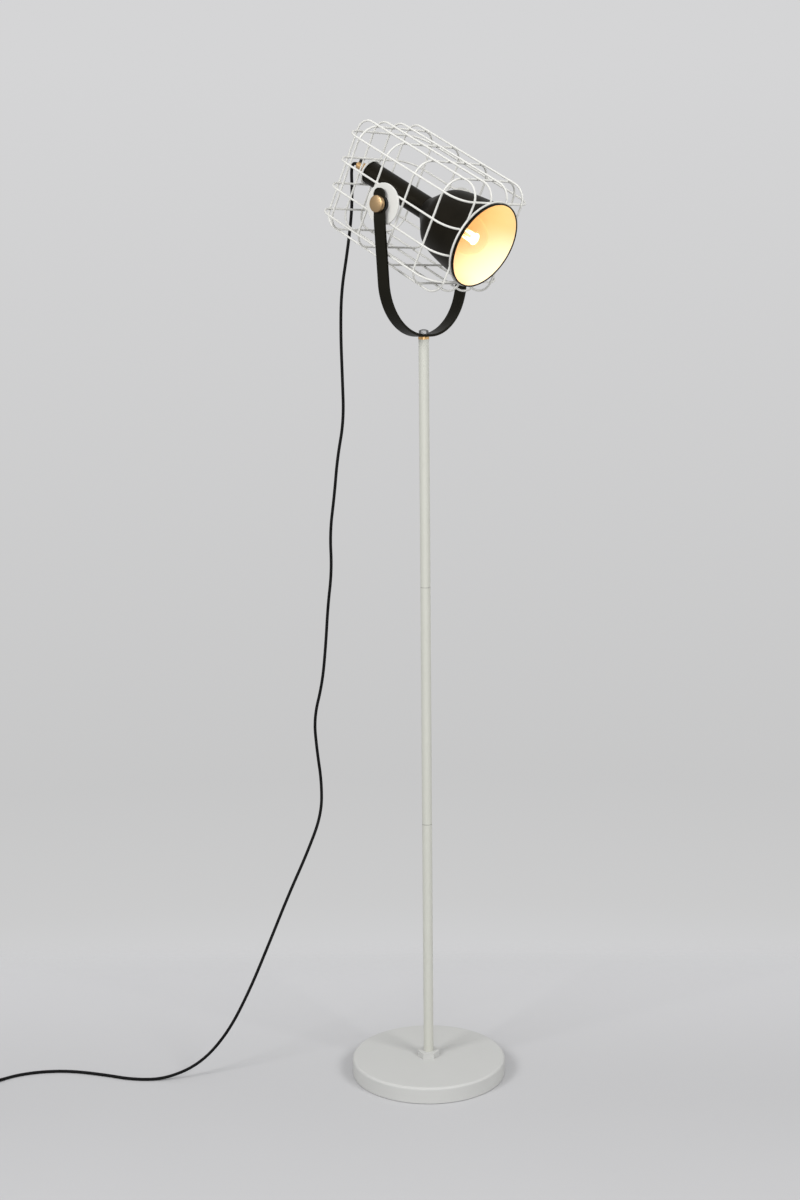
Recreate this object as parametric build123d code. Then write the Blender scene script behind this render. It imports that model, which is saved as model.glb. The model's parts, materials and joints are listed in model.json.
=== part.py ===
from build123d import *
import math
import os

# A floor lamp: a heavy round base, a pole screwed together from three tubes, a U-shaped
# yoke on top and, between the yoke's limbs, a box-shaped wire cage that holds a flared
# shade, its neck, the lamp holder and the bulb. A round cord hangs from the neck's back.
#
# Millimetres. +Z is up, the origin is the centre of the base on the floor, the lamp's
# front is -Y and the yoke's two limbs stand at +X and -X.
# The head is drawn level, about its own tilt axis, and then tilted into its place:
# X across, -Y towards the mouth, +Z up. Distances along the lamp's own axis are counted
# forwards from the tilt axis, so a place "ahead" is at y = -ahead.

# ---- base and pole ----
base_diameter = 250.0
base_height = 27.0
base_edge_radius = 4.0
base_skin = 1.5
pad_diameter = 240.0
pad_thickness = 2.0
base_nut_across_flats = 31.0
base_nut_height = 9.0
pole_diameter = 16.0
pole_wall = 1.6
pole_section = 386.0
joint_ring = 0.8
stud_diameter = 8.0
stud_head = 4.0

# ---- yoke ----
strap_thickness = 4.0
strap_width = 20.0
strap_top_half_span = 99.5
strap_limb_slope = 0.084
strap_bend_radius = 86.5
collar_height = 4.0
swivel_nut_across_flats = 13.0
swivel_nut_height = 7.5
face_gap = 0.05

# ---- head ----
tilt_axis_height = 1394.5
tilt = 27.4
wire = 3.2
weld = 0.25
hoop_half_width = 85.5
hoop_half_height = 83.6
hoop_corner = 30.0
hoop_pitch = 60.6
long_loop_pitch = 37.6
side_loop_pitch = 42.3
cage_back = 121.0
cage_front = 127.0
cage_corner = 28.0
long_loop_back_corner = 22.0
long_loop_front_corner = 26.0
mouth_ring_radius = 67.2
neck_radius = 17.9
neck_back = 117.0
neck_front = 12.0
neck_wall = 1.5
shade_wall = 1.0
shade_rim = 135.0
shade_rim_bead = 1.1
disc_radius = 31.0
disc_thickness = 3.0
knob_diameter = 25.0
knob_thickness = 8.0
pivot_screw_diameter = 6.0

# ---- cord grip, lamp holder and bulb: places along the lamp's axis ----
cap_end = 130.0
grip_collar_end = 137.0
grip_end = 147.0
grip_collar_radius = 7.5
grip_radius = 6.0
grip_screw_back = 143.5
holder_back = -24.0
holder_front = 42.0
bulb_cap_back = 21.0
bulb_cap_front = 47.0
bulb_tip = 129.0

# ---- cord ----
cord_diameter = 5.0
floor_lift = 2.6
coil_lift = 3.6
switch_length = 78.0
switch_nose = 20.0
switch_width = 22.0
switch_height = 17.0
rocker_axis = 15.7
switch_start = -502.0
cord_lane = 513.0

# The cord's route: straight out of the grip, over a tight bend, down behind the pole with
# the kinks of a cord that has been packed, and along the floor to the switch.
cord_lead_out = 7.5
cord_bends = [
    (0, 143.5, 1462.3),
    (0, 145.3, 1450.0),
    (0.5, 144.7, 1428.0),
    (-0.5, 145.6, 1386.0),
    (-6, 151.0, 1328.0),
    (-13, 158.5, 1268.0),
    (-13.8, 160.5, 1204.0),
    (-13.2, 158.8, 1134.0),
    (-12, 158.0, 1064.0),
    (-19.5, 166.5, 1004.0),
    (-23, 171.0, 944.0),
    (-28.5, 177.0, 884.0),
    (-27, 175.5, 822.0),
    (-31.5, 181.5, 762.0),
    (-34.5, 184.5, 700.0),
    (-38.5, 190.0, 634.0),
    (-48.5, 201.0, 576.0),
    (-46, 198.0, 522.0),
    (-42, 192.0, 466.0),
    (-51, 185.5, 414.0),
    (-80, 192.0, 354.0),
    (-113, 204.5, 288.0),
    (-149, 215.0, 214.0),
    (-186, 227.0, 138.0),
    (-221, 244.0, 72.0),
    (-258, 271.0, 24.0),
    (-303, 307.0, floor_lift),
    (-338, 346.0, floor_lift),
    (-356, 396.0, floor_lift),
    (-381, 449.0, floor_lift),
    (-412, 484.0, floor_lift),
    (-445, 505.0, floor_lift),
    (-469, 511.5, floor_lift),
    (-486, cord_lane, coil_lift),
]

# ---- coil: turns beside and on each other, spiralling in below and out above ----
coil_start_radius = 35.5
coil_turn_pitch = 6.6
coil_layer_pitch = 5.8
coil_half_turns = 5

# ---- worked out ----
pole_foot = base_height + base_nut_height
pole_top = pole_foot + 3 * pole_section
strap_bottom = pole_top + collar_height
strap_top = strap_bottom + strap_thickness
long_half_height = hoop_half_height + wire - weld
long_back = cage_back + wire - weld
long_front = cage_front + wire - weld
crossing = wire - weld
disc_inner = hoop_half_width + crossing + wire / 2 - face_gap
disc_outer = disc_inner + disc_thickness
strap_inner = strap_top_half_span - strap_thickness / 2
strap_outer = strap_top_half_span + strap_thickness / 2
coil_x = switch_start - switch_length - cord_diameter
coil_y = cord_lane - coil_start_radius


def round_bar(radius, low, high, bore=0.0):
    """An upright round bar or tube between two heights."""
    bar = Pos(0, 0, (low + high) / 2) * Cylinder(radius, high - low)
    if bore:
        bar -= Pos(0, 0, (low + high) / 2) * Cylinder(bore, high - low + 1)
    return bar


def turned(outline):
    """A solid turned about the lamp's axis, from (radius, ahead) points."""
    face = make_face(Polyline(*[(r, -ahead) for r, ahead in outline], close=True))
    return revolve(face, Axis.Y)


def cross_bar(radius, near, far, side, bore=0.0):
    """A round bar or tube on the tilt axis, from |x| = near to |x| = far."""
    middle = Pos(side * (near + far) / 2, 0, 0) * Rot(0, 90, 0)
    bar = middle * Cylinder(radius, far - near)
    if bore:
        bar -= middle * Cylinder(bore, far - near + 1)
    return bar


def bent_wire(path):
    """Round wire along a path."""
    return sweep(Plane(path @ 0, z_dir=path % 0) * Circle(wire / 2), path)


def behind_tilt_axis(distance):
    """A point on the lamp's own axis, behind the tilt axis, in its tilted place."""
    lift = math.radians(tilt)
    return Vector(0, distance * math.cos(lift), tilt_axis_height + distance * math.sin(lift))


def in_place(shape):
    """Takes a piece of the head from its own level frame to its tilted place."""
    return Pos(0, 0, tilt_axis_height) * Rot(tilt, 0, 0) * shape


# ---- stand ----
def base_cover():
    """The spun skin over the weight, open below."""
    outside = round_bar(base_diameter / 2, pad_thickness / 2, base_height)
    outside = fillet(outside.edges().group_by(Axis.Z)[-1], base_edge_radius)
    inside = round_bar(base_diameter / 2 - base_skin, 0, base_height - base_skin)
    inside = fillet(inside.edges().group_by(Axis.Z)[-1], base_edge_radius - base_skin)
    return outside - inside - round_bar(stud_diameter / 2, 0, base_height + 1)


def base_weight():
    """The iron disc that fills the cover."""
    radius = base_diameter / 2 - base_skin - 0.3
    disc = round_bar(radius, pad_thickness, base_height - base_skin)
    disc = chamfer(disc.edges().group_by(Axis.Z)[-1], 3)
    recess = round_bar(9, 0, pad_thickness + stud_head)
    return disc - recess - round_bar(stud_diameter / 2, 0, base_height + 1)


def base_pad():
    """The soft pad that the lamp stands on."""
    return round_bar(pad_diameter / 2, 0, pad_thickness)


def base_stud():
    """A long screw with a flat head, up through the weight into the pole's foot."""
    head = round_bar(8.5, pad_thickness, pad_thickness + stud_head)
    return head + round_bar(stud_diameter / 2, pad_thickness, pole_foot + 26)


def hex_prism(across_flats, low, high, turn):
    """An upright hexagon between two heights."""
    flat = RegularPolygon(across_flats / 2, 6, major_radius=False, rotation=turn)
    return Pos(0, 0, low) * extrude(flat, high - low)


def base_nut():
    """The big hexagon that locks the pole to the base, with turned corners."""
    nut = hex_prism(base_nut_across_flats, base_height, pole_foot, turn=10)
    corner = base_nut_across_flats / math.sqrt(3)
    cone = Pos(0, 0, base_height + 10) * Cone(corner + 10.5, corner - 2.0, 20)
    nut = nut & (cone + round_bar(corner + 1, base_height, base_height + 4))
    return nut - round_bar(stud_diameter / 2, base_height - 1, pole_foot + 1)


def pole_tube(low, high):
    """One tube of the pole."""
    return round_bar(pole_diameter / 2, low, high, bore=pole_diameter / 2 - pole_wall)


def pole_coupling(height):
    """A plug inside two tubes, with a thin ring that shows between them."""
    plug = round_bar(pole_diameter / 2 - pole_wall, height - 22, height + 22)
    ring = round_bar(pole_diameter / 2 - 0.4, height - joint_ring / 2, height + joint_ring / 2)
    return plug + ring


def pole_foot_plug():
    """The threaded plug in the foot of the pole, on the base's stud."""
    radius = pole_diameter / 2 - pole_wall
    return round_bar(radius, pole_foot, pole_foot + 30, bore=stud_diameter / 2)


def swivel_stud():
    """The stud in the pole's top that the yoke turns on."""
    plug = round_bar(pole_diameter / 2 - pole_wall, pole_top - 30, pole_top)
    return plug + round_bar(stud_diameter / 2, pole_top, strap_top + 5)


def brass_collar():
    """A fluted brass collar under the yoke."""
    low = pole_top
    high = strap_bottom - face_gap
    ring = round_bar(pole_diameter / 2 + 0.4, low, high)
    for turn in range(0, 360, 30):
        ring -= Rot(0, 0, turn) * Pos(pole_diameter / 2 + 0.9, 0, (low + high) / 2) * Cylinder(1.0, 10)
    return ring - round_bar(stud_diameter / 2, low - 1, high + 1)


def swivel_nut():
    """A capped hexagon nut that holds the yoke down."""
    low = strap_top + face_gap
    nut = hex_prism(swivel_nut_across_flats, low, low + swivel_nut_height, turn=10)
    corner = swivel_nut_across_flats / math.sqrt(3)
    dome = Pos(0, 0, low - 6) * Sphere(swivel_nut_height + 6)
    nut = nut & (dome + round_bar(corner, low, low + 1))
    return nut - round_bar(stud_diameter / 2, low - 1, strap_top + 5)


# ---- yoke ----
def yoke_strap():
    """A flat strap bent to a U, with round ends and holes for the stud and screws."""
    middle = strap_bottom + strap_thickness / 2
    knee = middle + (strap_top_half_span - 86.2) / strap_limb_slope + 12
    foot = strap_top_half_span - strap_limb_slope * (knee - middle)
    end = tilt_axis_height + 13.5
    half = [(strap_top_half_span, end), (strap_top_half_span, knee), (foot, middle)]
    points = [(-x, 0, z) for x, z in half] + [(x, 0, z) for x, z in reversed(half)]
    path = FilletPolyline(*points, radius=[40, strap_bend_radius, strap_bend_radius, 40])
    section = Plane(path @ 0, x_dir=(1, 0, 0), z_dir=path % 0)
    strap = sweep(section * Rectangle(strap_thickness, strap_width), path)
    for side in (-1, 1):
        turn = Pos(side * strap_top_half_span, 0, end) * Rot(0, 90, 0)
        strap += turn * Cylinder(strap_width / 2, strap_thickness)
        hole = Pos(0, 0, tilt_axis_height) * cross_bar(pivot_screw_diameter / 2 + 0.1, 90, 110, side)
        strap -= hole
    return strap - round_bar(stud_diameter / 2 + 0.08, strap_bottom - 5, strap_top + 5)


# ---- cage ----
def rounded_frame(width_low, width_high, height_low, height_high, corners):
    """Corner points and radii of a closed round-cornered frame, from its side's middle."""
    points = [
        (width_low, 0),
        (width_low, height_high),
        (width_high, height_high),
        (width_high, height_low),
        (width_low, height_low),
    ]
    return points, corners


def closed_loop(place, points, corners):
    """Round wire bent along a closed frame: two halves that share their ends."""
    start = points[0]
    far = (points[2][0], start[1])
    first = FilletPolyline(*[place(*p) for p in (start, points[1], points[2], far)], radius=corners[:2])
    second = FilletPolyline(*[place(*p) for p in (far, points[3], points[4], start)], radius=corners[2:])
    return bent_wire(first) + bent_wire(second)


def mouth_ring():
    """The wire ring round the shade's mouth, in the plane of the long loops' fronts."""
    return Pos(0, -long_front, 0) * Rot(90, 0, 0) * Torus(mouth_ring_radius, wire / 2)


def neck_ring():
    """The wire ring that holds the neck, welded to the two middle side loops' backs."""
    return Pos(0, cage_back - 2.6, 0) * Rot(90, 0, 0) * Torus(neck_radius + 0.1 + wire / 2, wire / 2)


def mouth_space():
    """The round space inside the mouth ring, where no wire of a loop runs."""
    return Pos(0, -cage_front, 0) * Rot(90, 0, 0) * Cylinder(mouth_ring_radius, 40)


def cage_hoop(ahead):
    """A closed hoop across the lamp's axis."""
    points, corners = rounded_frame(
        -hoop_half_width, hoop_half_width, -hoop_half_height, hoop_half_height, [hoop_corner] * 4
    )
    return closed_loop(lambda x, z: (x, -ahead, z), points, corners)


def cage_long_loop(across):
    """A loop in an upright plane along the lamp's axis, outside the hoops."""
    points, corners = rounded_frame(
        -long_front,
        long_back,
        -long_half_height,
        long_half_height,
        [long_loop_front_corner, long_loop_back_corner, long_loop_back_corner, long_loop_front_corner],
    )
    loop = closed_loop(lambda y, z: (across, y, z), points, corners)
    return loop - mouth_space() - mouth_ring()


def hoop_half_width_at(height):
    """Half the hoops' width at a height, in their straight sides or round corners."""
    into_corner = abs(height) - (hoop_half_height - hoop_corner)
    if into_corner <= 0:
        return hoop_half_width
    return hoop_half_width - hoop_corner + math.sqrt(hoop_corner**2 - into_corner**2)


def cage_side_loop(height):
    """A loop in a level plane, outside the hoops' sides."""
    half_width = hoop_half_width_at(height) + crossing
    points, corners = rounded_frame(-cage_front, cage_back, -half_width, half_width, [cage_corner] * 4)
    loop = closed_loop(lambda y, x: (x, y, height), points, corners)
    return loop - mouth_space() - mouth_ring()


# ---- pivots ----
def pivot_disc(side):
    """The round side plate, welded on the two middle side loops."""
    disc = cross_bar(disc_radius, disc_inner, disc_outer, side)
    disc = fillet(disc.edges(), 0.8)
    return disc - cross_bar(pivot_screw_diameter / 2 + 0.1, 70, 110, side)


def pivot_boss(side):
    """The threaded bush behind the side plate."""
    return cross_bar(7, disc_inner - 9, disc_inner, side, bore=pivot_screw_diameter / 2 + 0.06)


def pivot_washer(side):
    """The friction washer between the side plate and the yoke."""
    return cross_bar(12, disc_outer, strap_inner - face_gap, side, bore=pivot_screw_diameter / 2 + 0.1)


def knob(side):
    """A round brass thumb knob with softly broken edges."""
    body = cross_bar(knob_diameter / 2, strap_outer + face_gap, strap_outer + knob_thickness, side)
    return fillet(body.edges(), 1.4)


def knob_screw(side):
    """The screw fixed in the knob, through the yoke into the bush."""
    return cross_bar(pivot_screw_diameter / 2, disc_inner - 8, strap_outer + face_gap, side)


# ---- shade and neck ----
def shade_curve():
    """The shade's outer line, from the neck to the mouth, as (radius, ahead)."""
    return Spline(
        (18.6, -neck_front),
        (30.2, -26),
        (41, -38),
        (47.8, -46),
        (52, -57),
        (56.8, -80),
        (60.3, -105),
        (66.3, -shade_rim),
    )


def shade():
    """The flared shade: a thin shell with a rolled rim."""
    outer = shade_curve()
    steps = 12
    inner_points = []
    for step in range(steps + 1):
        along = outer % (step / steps)
        inward = Vector(along.Y, -along.X, 0).normalized()
        inner_points.append(outer @ (step / steps) + inward * shade_wall)
    inner = Spline(*inner_points)
    back = Line(inner @ 0, outer @ 0)
    front = Line(outer @ 1, inner @ 1)
    shell = revolve(make_face([outer, front, inner, back]), Axis.Y)
    rim = Pos(0, -shade_rim, 0) * Rot(90, 0, 0) * Torus(66.0, shade_rim_bead)
    return shell + rim


def neck_tube():
    """The round tube from the cage's back to the shade."""
    bore = neck_radius - neck_wall
    return turned([(bore, -neck_back), (neck_radius, -neck_back), (neck_radius, neck_front), (bore, neck_front)])


def neck_cap():
    """The domed end of the neck, bored for the cord grip's thread."""
    dome = Spline((neck_radius, neck_back), (16.8, 120.4), (13.3, 124.3), (9.4, 127.7), (7.4, cap_end))
    sides = Polyline(dome @ 1, (3.5, cap_end), (3.5, neck_back), dome @ 0)
    return revolve(make_face([dome, *sides.edges()]), Axis.Y)


def cord_grip():
    """The brass cord grip: a threaded stem, a wide collar and a narrow body."""
    return turned(
        [
            (0, -neck_back + 2),
            (3.5, -neck_back + 2),
            (3.5, -cap_end),
            (grip_collar_radius - 0.8, -cap_end),
            (grip_collar_radius, -cap_end - 0.8),
            (grip_collar_radius, -grip_collar_end + 0.8),
            (grip_collar_radius - 0.8, -grip_collar_end),
            (grip_radius, -grip_collar_end),
            (grip_radius, -grip_end + 0.8),
            (grip_radius - 0.8, -grip_end),
            (0, -grip_end),
        ]
    )


def grip_screw():
    """The clamp screw that stands up from the grip."""
    screw = Pos(0, grip_screw_back, grip_radius + 2.4) * Cylinder(3.3, 5.4)
    screw = fillet(screw.edges().group_by(Axis.Z)[-1], 0.8)
    return screw - Pos(0, grip_screw_back, 0) * Rot(90, 0, 0) * Cylinder(grip_radius, 30)


# ---- lamp holder and bulb ----
def socket_body():
    """The moulded lamp holder, from inside the neck into the shade."""
    return turned(
        [
            (3, holder_back),
            (neck_radius - neck_wall - 0.4, holder_back),
            (neck_radius - neck_wall - 0.4, neck_front + 1),
            (18.2, neck_front + 3),
            (18.2, holder_front),
            (14.6, holder_front),
            (14.6, 17),
            (3, 17),
        ]
    )


def socket_shell():
    """The brass screw shell inside the lamp holder."""
    return turned([(13.7, 17), (14.6, 17), (14.6, holder_front - 2), (13.7, holder_front - 2)])


def socket_contact():
    """The centre contact under the bulb's foot."""
    return turned([(0, 15), (3, 15), (3, 17), (5, 17), (5, 18.2), (2.2, bulb_cap_back), (0, bulb_cap_back)])


def neck_wiring():
    """The cord's two cores, through the neck from the grip to the lamp holder."""
    length = neck_back - 2 + holder_back
    middle = (neck_back - 2 - holder_back) / 2
    core = Pos(0, middle, 0) * Rot(90, 0, 0) * Cylinder(1.1, length)
    return Compound(children=[Pos(side * 1.4, 0, 0) * core for side in (-1, 1)])


def bulb_cap():
    """The bulb's screw cap, with its rounded thread and its foot."""
    ridges = 7
    pitch = (bulb_cap_front - 6 - bulb_cap_back - 3) / ridges
    outline = [(0, bulb_cap_back), (4.5, bulb_cap_back), (11.5, bulb_cap_back + 3)]
    for ridge in range(ridges):
        start = bulb_cap_back + 3 + ridge * pitch
        outline += [(12.5, start + 0.2 * pitch), (13.3, start + 0.5 * pitch), (12.5, start + 0.8 * pitch)]
    outline += [(13.1, bulb_cap_front - 5), (13.1, bulb_cap_front), (0, bulb_cap_front)]
    return turned(outline)


def bulb_line(inset):
    """The glass's line from the cap to the tip, moved inwards by the inset."""
    return Spline(
        (13.0 - inset, -bulb_cap_front),
        (15.5 - inset, -(bulb_cap_front + 8)),
        (24.5 - inset, -(bulb_cap_front + 27)),
        (30.0 - inset, -(bulb_tip - 30)),
        (21.5 - inset, -(bulb_tip - 8.5) + inset * 0.7),
        (0, -bulb_tip + inset),
        tangents=[(0, -1), (-1, 0)],
    )


def bulb_glass():
    """The bulb's glass, a thin shell."""
    outer = bulb_line(0)
    inner = bulb_line(1.0)
    foot = Line(outer @ 0, inner @ 0)
    tip = Line(inner @ 1, outer @ 1)
    return revolve(make_face([outer, tip, inner, foot]), Axis.Y)


def bulb_filament():
    """The stem and the four upright glowing strips around it."""
    post = turned([(0, bulb_cap_front), (7, bulb_cap_front), (3, bulb_cap_front + 10), (2, 78), (0, 78)])
    foot = turned([(0, 78), (9, 78), (9, 79.2), (0, 79.2)])
    crown = turned([(0, 112), (9, 112), (9, 113.2), (0, 113.2)])
    spine = turned([(0, 79.2), (1, 79.2), (1, 112), (0, 112)])
    whole = post + foot + crown + spine
    for turn in range(45, 405, 90):
        whole += Rot(0, turn, 0) * Pos(7, -95.6, 0) * Rot(90, 0, 0) * Cylinder(1.2, 33)
    return whole


# ---- cord and what is on it ----
def cord_route():
    """The cord's centreline: straight runs joined by tangent arcs."""
    start = behind_tilt_axis(grip_end + 0.02)
    first_bend = behind_tilt_axis(grip_end + cord_lead_out)
    points = [start, first_bend, *[Vector(*p) for p in cord_bends]]
    points.append(Vector(switch_start, cord_lane, coil_lift))
    radii = []
    for before, here, after in zip(points, points[1:], points[2:]):
        turn = math.radians((here - before).get_angle(after - here))
        shorter = min((here - before).length, (after - here).length)
        radii.append(0.45 * shorter / math.tan(turn / 2))
    print("cord radii", [round(r, 1) for r in radii])
    print("cord runs", [round((b - a).length, 1) for a, b in zip(points, points[1:])])
    return FilletPolyline(*points, radius=radii)


def cord():
    """The cord from the grip to the switch."""
    route = cord_route()
    tube = sweep(Plane(route @ 0, z_dir=route % 0) * Circle(cord_diameter / 2), route)
    section = math.pi * cord_diameter**2 / 4
    print("cord length", round(route.length, 1), "volume share", round(tube.volume / section / route.length, 5))
    return tube


def coil_route():
    """The coil's half turns, in from the outside below, up, and out again above."""
    low = coil_lift
    high = coil_lift + coil_layer_pitch
    reach = coil_start_radius
    marks = [(reach, low)]
    for _ in range(coil_half_turns):
        reach -= coil_turn_pitch / 2
        marks.append((reach, low))
    marks.append((reach, high))
    for _ in range(coil_half_turns - 1):
        reach += coil_turn_pitch / 2
        marks.append((reach, high))
    edges = [Line((coil_x + cord_diameter, coil_y + coil_start_radius, low), (coil_x, coil_y + coil_start_radius, low))]
    for index, ((near, z_near), (far, z_far)) in enumerate(zip(marks, marks[1:])):
        top = 1 if index % 2 == 0 else -1
        begin = Vector(coil_x, coil_y + top * near, z_near)
        finish = Vector(coil_x, coil_y - top * far, z_far)
        middle = (begin + finish) * 0.5
        side = Vector(-top * (finish - begin).length / 2, 0, 0)
        edges.append(ThreePointArc(begin, middle + side, finish))
    top = edges[-1] @ 1
    quarter = coil_start_radius - coil_turn_pitch / 4
    across = quarter * math.sin(math.radians(45))
    bend = Vector(top.X - across, top.Y - quarter + across, high)
    last = Vector(top.X - quarter, top.Y - quarter, high)
    edges.append(ThreePointArc(top, bend, last))
    edges.append(Line(last, last + Vector(0, -cord_diameter, 0)))
    return Wire(edges)


def least_gap(route):
    """The coil's least gap to itself, over points two or more diameters apart along it."""
    count = 900
    points = [route @ (i / count) for i in range(count + 1)]
    step = route.length / count
    apart = math.ceil(3 * cord_diameter / step)
    least = min((p - q).length for i, p in enumerate(points) for q in points[i + apart :])
    return least - cord_diameter


def cord_coil():
    """The put-away length, wound in two layers."""
    route = coil_route()
    tube = sweep(Plane(route @ 0, z_dir=route % 0) * Circle(cord_diameter / 2), route)
    section = math.pi * cord_diameter**2 / 4
    print("coil length", round(route.length, 1), "volume share", round(tube.volume / section / route.length, 5))
    print("coil least gap to itself", round(least_gap(route), 2))
    return tube


def cord_tie():
    """A strap round the coil's turns."""
    low_side = coil_y - coil_start_radius
    outer = Box(6, 21.2, 12.9)
    outer = fillet(outer.edges().filter_by(Axis.X), 3)
    inner = Box(8, 19.2, 10.9)
    inner = fillet(inner.edges().filter_by(Axis.X), 2)
    return Pos(coil_x, low_side + 9.7, 6.5) * (outer - inner)


def switch_housing():
    """The switch's whole outer shape: a soft brick with a short nose at each end."""
    centre_x = switch_start - switch_length / 2
    brick = Box(switch_length - 2 * switch_nose, switch_width, switch_height)
    brick = fillet(brick.edges().filter_by(Axis.Z), 6)
    brick = fillet(brick.edges().group_by(Axis.Z)[-1], 3)
    brick = Pos(centre_x, cord_lane, switch_height / 2) * brick
    ends = Pos(centre_x, cord_lane, coil_lift) * Rot(0, 90, 0) * Cylinder(coil_lift - 0.05, switch_length)
    return brick + ends


def switch_well():
    """The slot in the switch's top that the rocker works in, and the room below it."""
    centre_x = switch_start - switch_length / 2
    return Pos(centre_x, cord_lane, switch_height - 2) * Box(20, 10, 10)


def switch_half(upper):
    """The switch's upper or lower housing half."""
    split = switch_height / 2
    slab = Pos(switch_start - switch_length / 2, cord_lane, split + (20 if upper else -20)) * Box(80, 40, 40)
    pin_holes = Pos(switch_start - switch_length / 2, cord_lane, rocker_axis) * Rot(90, 0, 0) * Cylinder(0.88, 12.6)
    return (switch_housing() & slab) - switch_well() - pin_holes


def switch_rocker():
    """The rocker, tipped to its on side, with a pivot pin at each side."""
    centre_x = switch_start - switch_length / 2
    body = Box(18.6, 9.0, 5.4)
    body = fillet(body.edges().filter_by(Axis.Y).group_by(Axis.Z)[-1], 1.5)
    body += Rot(90, 0, 0) * Cylinder(0.8, 12.2)
    return Pos(centre_x, cord_lane, rocker_axis) * Rot(0, 8, 0) * body


def plug_place():
    """Where the coil's end meets the plug's nose, which points to -Y."""
    quarter = coil_start_radius - coil_turn_pitch / 4
    top = coil_start_radius - coil_turn_pitch / 2
    return coil_x - quarter, coil_y + top - quarter - cord_diameter, coil_lift + coil_layer_pitch


def plug_body():
    """The moulded two-pin plug: a tapered nose and a flat round-cornered body."""
    x, y, z = plug_place()
    nose = Pos(x, y - 15, z) * Rot(90, 0, 0) * Cone(3.1, 4.9, 30)
    body = Box(36, 32, 2 * z)
    body = fillet(body.edges().filter_by(Axis.Z), 9)
    body = fillet(body.edges().group_by(Axis.Z)[-1], 4)
    return nose + Pos(x, y - 45.9, z) * body


def plug_pins():
    """The plug's two round pins."""
    x, y, z = plug_place()
    pins = []
    for side in (-1, 1):
        pin = Pos(x + side * 9.5, y - 71.4, z) * Rot(90, 0, 0) * Cylinder(2.4, 19)
        pins.append(fillet(pin.edges().group_by(Axis.Y)[0], 1.5))
    return Compound(children=pins)


def all_pieces():
    """Every piece by its name, in its place."""
    lower_joint = pole_foot + pole_section
    upper_joint = lower_joint + pole_section
    half_ring = joint_ring / 2
    pieces = {
        "base_cover": base_cover(),
        "base_weight": base_weight(),
        "base_pad": base_pad(),
        "base_stud": base_stud(),
        "base_nut": base_nut(),
        "pole_foot_plug": pole_foot_plug(),
        "pole_lower": pole_tube(pole_foot, lower_joint - half_ring),
        "pole_coupling_lower": pole_coupling(lower_joint),
        "pole_middle": pole_tube(lower_joint + half_ring, upper_joint - half_ring),
        "pole_coupling_upper": pole_coupling(upper_joint),
        "pole_upper": pole_tube(upper_joint + half_ring, pole_top),
        "swivel_stud": swivel_stud(),
        "brass_collar": brass_collar(),
        "swivel_nut": swivel_nut(),
        "yoke_strap": yoke_strap(),
        "cord": cord(),
        "cord_coil": cord_coil(),
        "cord_tie": cord_tie(),
        "switch_lower": switch_half(upper=False),
        "switch_upper": switch_half(upper=True),
        "switch_rocker": switch_rocker(),
        "plug_body": plug_body(),
        "plug_pins": plug_pins(),
    }
    head = {
        "mouth_ring": mouth_ring(),
        "neck_ring": neck_ring(),
        "shade": shade(),
        "neck_tube": neck_tube(),
        "neck_cap": neck_cap(),
        "cord_grip": cord_grip(),
        "grip_screw": grip_screw(),
        "socket_body": socket_body(),
        "socket_shell": socket_shell(),
        "socket_contact": socket_contact(),
        "neck_wiring": neck_wiring(),
        "bulb_cap": bulb_cap(),
        "bulb_glass": bulb_glass(),
        "bulb_filament": bulb_filament(),
    }
    for number, step in enumerate((-1.5, -0.5, 0.5, 1.5), start=1):
        head[f"cage_hoop_{number}"] = cage_hoop(step * hoop_pitch)
        head[f"cage_long_loop_{number}"] = cage_long_loop(step * long_loop_pitch)
        head[f"cage_side_loop_{number}"] = cage_side_loop(step * side_loop_pitch)
    for name, side in (("left", -1), ("right", 1)):
        head[f"pivot_disc_{name}"] = pivot_disc(side)
        head[f"pivot_boss_{name}"] = pivot_boss(side)
        head[f"pivot_washer_{name}"] = pivot_washer(side)
        head[f"knob_{name}"] = knob(side)
        head[f"knob_screw_{name}"] = knob_screw(side)
    pieces.update({name: in_place(piece) for name, piece in head.items()})
    return pieces


os.makedirs("parts", exist_ok=True)
for piece_name, piece in all_pieces().items():
    export_step(piece, f"parts/{piece_name}.step")
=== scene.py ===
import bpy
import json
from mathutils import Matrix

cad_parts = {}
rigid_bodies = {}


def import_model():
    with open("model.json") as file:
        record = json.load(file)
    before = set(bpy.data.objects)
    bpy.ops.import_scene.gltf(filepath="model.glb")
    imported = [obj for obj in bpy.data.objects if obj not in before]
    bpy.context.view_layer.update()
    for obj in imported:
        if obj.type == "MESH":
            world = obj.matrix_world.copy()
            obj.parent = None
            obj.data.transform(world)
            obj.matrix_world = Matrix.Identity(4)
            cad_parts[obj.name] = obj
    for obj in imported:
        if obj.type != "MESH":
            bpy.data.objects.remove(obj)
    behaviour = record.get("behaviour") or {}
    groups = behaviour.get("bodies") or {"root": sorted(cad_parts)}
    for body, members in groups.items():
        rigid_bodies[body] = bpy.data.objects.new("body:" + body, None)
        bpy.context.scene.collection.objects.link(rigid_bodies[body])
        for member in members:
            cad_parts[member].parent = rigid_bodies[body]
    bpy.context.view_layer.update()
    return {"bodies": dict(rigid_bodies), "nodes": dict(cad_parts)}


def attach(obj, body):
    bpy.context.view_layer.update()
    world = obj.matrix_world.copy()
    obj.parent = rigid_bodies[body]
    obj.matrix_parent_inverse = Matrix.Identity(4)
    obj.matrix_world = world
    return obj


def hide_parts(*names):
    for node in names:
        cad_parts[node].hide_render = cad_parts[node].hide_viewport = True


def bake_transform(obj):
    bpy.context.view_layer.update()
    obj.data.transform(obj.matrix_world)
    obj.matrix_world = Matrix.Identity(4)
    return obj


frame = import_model()

import bmesh
import bpy
import json
import math
from mathutils import Matrix, Vector
from mathutils.geometry import interpolate_bezier

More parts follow.
